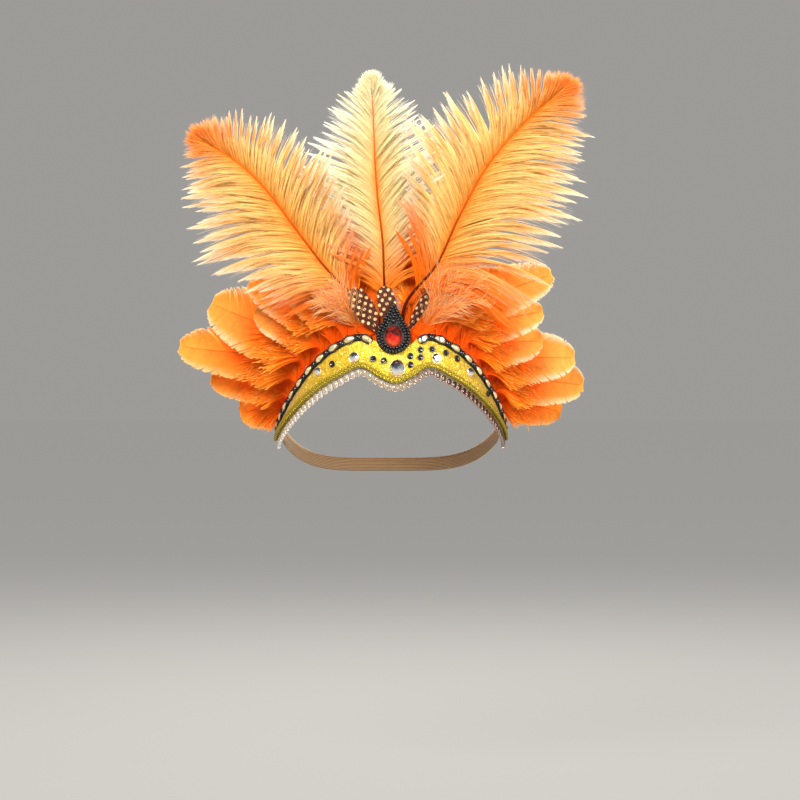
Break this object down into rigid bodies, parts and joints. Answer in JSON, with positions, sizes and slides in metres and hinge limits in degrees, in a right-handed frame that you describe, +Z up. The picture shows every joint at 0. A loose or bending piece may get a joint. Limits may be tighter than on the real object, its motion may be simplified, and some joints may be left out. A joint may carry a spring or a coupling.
{
  "type": "carnival feather headdress",
  "caption": "Carnival headdress: crescent gold headband with braid, bead fringe, stones and a drop brooch, carrying ostrich plumes, broad, guinea and marabou feathers.",
  "frame": {"origin": "middle of the head opening, level with the two ends of the band, where a head carries it", "axes": "+Z up, -Y the way the wearer faces, +X to the right as seen from the front"},
  "size_m": [0.284, 0.219, 0.2754],
  "materials": {
    "band_cloth": "gold-yellow velvet cloth",
    "edge_braid": "olive-gold metallic gimp braid",
    "ring_braid": "gold ovals and glossy black rings",
    "clear_bead": "clear flat beads",
    "clear_stone": "clear foil-backed cut stones",
    "black_sequin": "glossy black cup sequins",
    "black_setting": "glossy black beaded setting",
    "red_stone": "deep red cut stone",
    "guinea_feather": "dark feather with pale spots",
    "ostrich_plume": "soft orange plume, paler at the barb ends",
    "marabou": "soft coral wisps",
    "broad_feather": "satin orange feather with a pale edge",
    "elastic": "ribbed tan elastic"
  },
  "bodies": {
    "root": {"band_stone_left_1": "clear_stone", "band_stone_left_2": "clear_stone", "band_stone_right_1": "clear_stone", "band_stone_right_2": "clear_stone", "bead_fringe": "clear_bead", "broad_feather_back_1": "broad_feather", "broad_feather_back_2": "broad_feather", "broad_feather_back_3": "broad_feather", "broad_feather_back_4": "broad_feather", "broad_feather_left_1": "broad_feather", "broad_feather_left_2": "broad_feather", "broad_feather_left_3": "broad_feather", "broad_feather_left_4": "broad_feather", "broad_feather_left_5": "broad_feather", "broad_feather_left_6": "broad_feather", "broad_feather_left_7": "broad_feather", "broad_feather_right_1": "broad_feather", "broad_feather_right_2": "broad_feather", "broad_feather_right_3": "broad_feather", "broad_feather_right_4": "broad_feather", "broad_feather_right_5": "broad_feather", "broad_feather_right_6": "broad_feather", "broad_feather_right_7": "broad_feather", "brooch_setting": "black_setting", "brooch_stone": "red_stone", "centre_stone": "clear_stone", "edge_braid": "edge_braid", "elastic_strap": "elastic", "guinea_feather_centre": "guinea_feather", "guinea_feather_left": "guinea_feather", "guinea_feather_right": "guinea_feather", "headband": "band_cloth", "marabou_tuft_left": "marabou", "marabou_tuft_right": "marabou", "ostrich_plume_centre": "ostrich_plume", "ostrich_plume_left": "ostrich_plume", "ostrich_plume_right": "ostrich_plume", "ring_braid_left": "ring_braid", "ring_braid_right": "ring_braid", "sequin_1": "black_sequin", "sequin_10": "black_sequin", "sequin_11": "black_sequin", "sequin_2": "black_sequin", "sequin_3": "black_sequin", "sequin_4": "black_sequin", "sequin_5": "black_sequin", "sequin_6": "black_sequin", "sequin_7": "black_sequin", "sequin_8": "black_sequin", "sequin_9": "black_sequin"}
  },
  "joints": []
}
